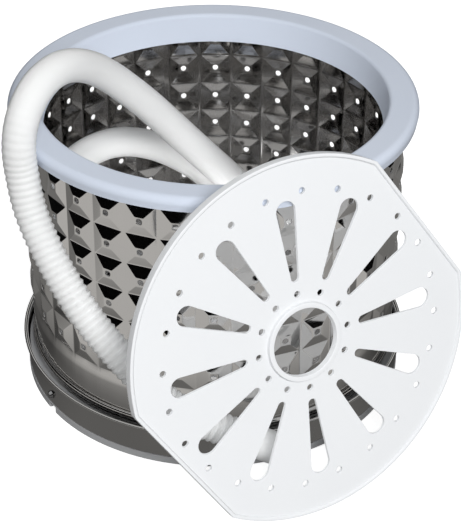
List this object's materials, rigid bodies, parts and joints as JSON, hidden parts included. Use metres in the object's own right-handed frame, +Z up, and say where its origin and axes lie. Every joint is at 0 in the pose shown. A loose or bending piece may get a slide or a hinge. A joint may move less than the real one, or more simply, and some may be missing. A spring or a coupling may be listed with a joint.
{
  "type": "spin basket set",
  "caption": "Perforated steel spin drum with a liquid balance ring on a moulded base, a slotted press plate leaning on it and a corrugated drain hose.",
  "frame": {"origin": "on the drum's axis, at the lower end of the drive bush, level with the surface that the base stands on", "axes": "+Z up along the drum's axis; -Y towards the viewer of the picture; +X to the viewer's right"},
  "size_m": [0.3029, 0.3542, 0.2676],
  "materials": {
    "drum_steel": "satin",
    "floor_steel": "satin",
    "skirt_steel": "polished",
    "fastener_steel": "satin",
    "ring_plastic": "satin",
    "base_plastic": "matte",
    "cap_plastic": "satin",
    "plate_plastic": "gloss",
    "hose_plastic": "satin",
    "hub_alloy": "cast",
    "bush_steel": "satin",
    "washer_rubber": "matte"
  },
  "bodies": {
    "basket": {"drum_wall": "drum_steel", "drum_floor": "floor_steel", "rim_cover": "ring_plastic", "rim_channel": "ring_plastic", "rim_plugs": "ring_plastic", "base_pan": "base_plastic", "base_skirt": "skirt_steel", "skirt_screws": "fastener_steel", "drive_hub": "hub_alloy", "hub_bush": "bush_steel", "floor_washer": "washer_rubber", "clamp_ring": "floor_steel", "clamp_bolts": "fastener_steel", "clamp_nuts": "fastener_steel", "hub_cap": "cap_plastic", "drain_hose": "hose_plastic", "hose_cuff": "hose_plastic", "hose_connector": "hose_plastic"},
    "plate": {"press_plate": "plate_plastic"}
  },
  "joints": [
    {"name": "plate_lift", "type": "slide", "parent": "basket", "child": "plate", "axis": [0, 0, 1], "range_m": [0, 0.27]}
  ]
}
